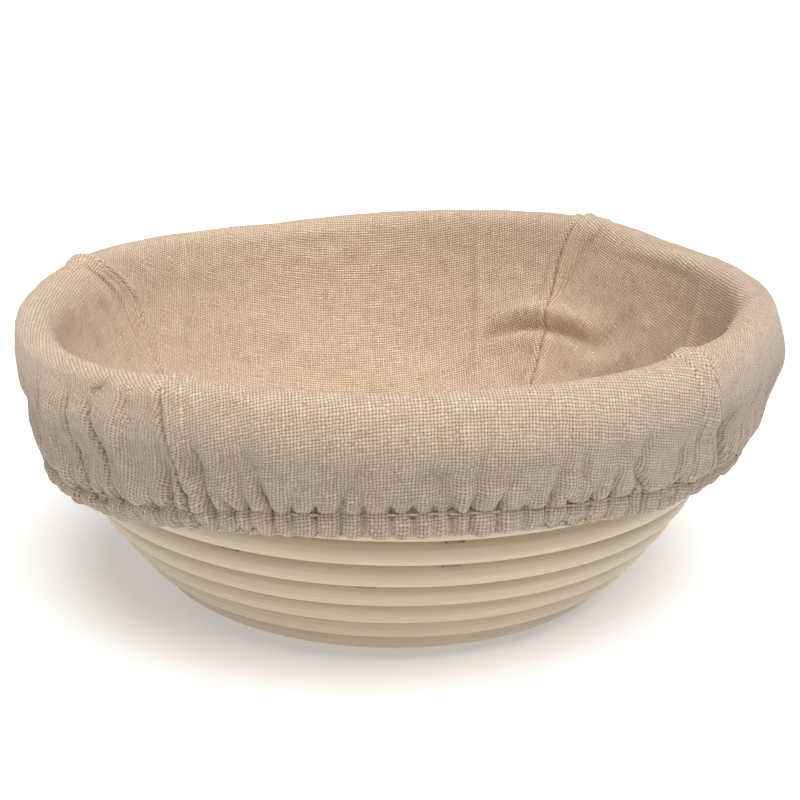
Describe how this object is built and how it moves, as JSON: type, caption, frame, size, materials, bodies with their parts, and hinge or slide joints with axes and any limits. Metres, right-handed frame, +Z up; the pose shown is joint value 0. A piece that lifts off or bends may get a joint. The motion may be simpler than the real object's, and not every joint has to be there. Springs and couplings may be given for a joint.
{
  "type": "banneton basket",
  "caption": "Round bread proving basket wound from rattan cane, with a removable cloth liner that an elastic hem holds over the rim.",
  "frame": {"origin": "centre of the underside, on the surface that the basket stands on", "axes": "+Z up out of the bowl; +X right and +Y away from the viewer in front"},
  "size_m": [0.2286, 0.2286, 0.0914],
  "materials": {
    "cane": "bare peeled rattan, satin",
    "steel_wire": "dull wire",
    "linen": "coarse unbleached plain weave",
    "elastic": "braided elastic band",
    "thread": "cotton thread"
  },
  "bodies": {
    "basket": {"base_cane": "cane", "lower_wall_cane": "cane", "upper_wall_cane": "cane", "base_staples": "steel_wire", "lower_wall_staples": "steel_wire", "upper_wall_staples": "steel_wire", "rim_staples": "steel_wire", "splice_nails": "steel_wire"},
    "liner": {"liner_bowl": "linen", "liner_skirt": "linen", "hem_casing": "linen", "hem_elastic": "elastic", "hem_thread": "thread", "dart_threads": "thread"}
  },
  "joints": [
    {"name": "liner_lift", "type": "slide", "parent": "basket", "child": "liner", "axis": [0, 0, 1], "range_m": [0, 0.1], "deforming": ["liner_skirt", "hem_casing", "hem_elastic", "hem_thread"]}
  ]
}
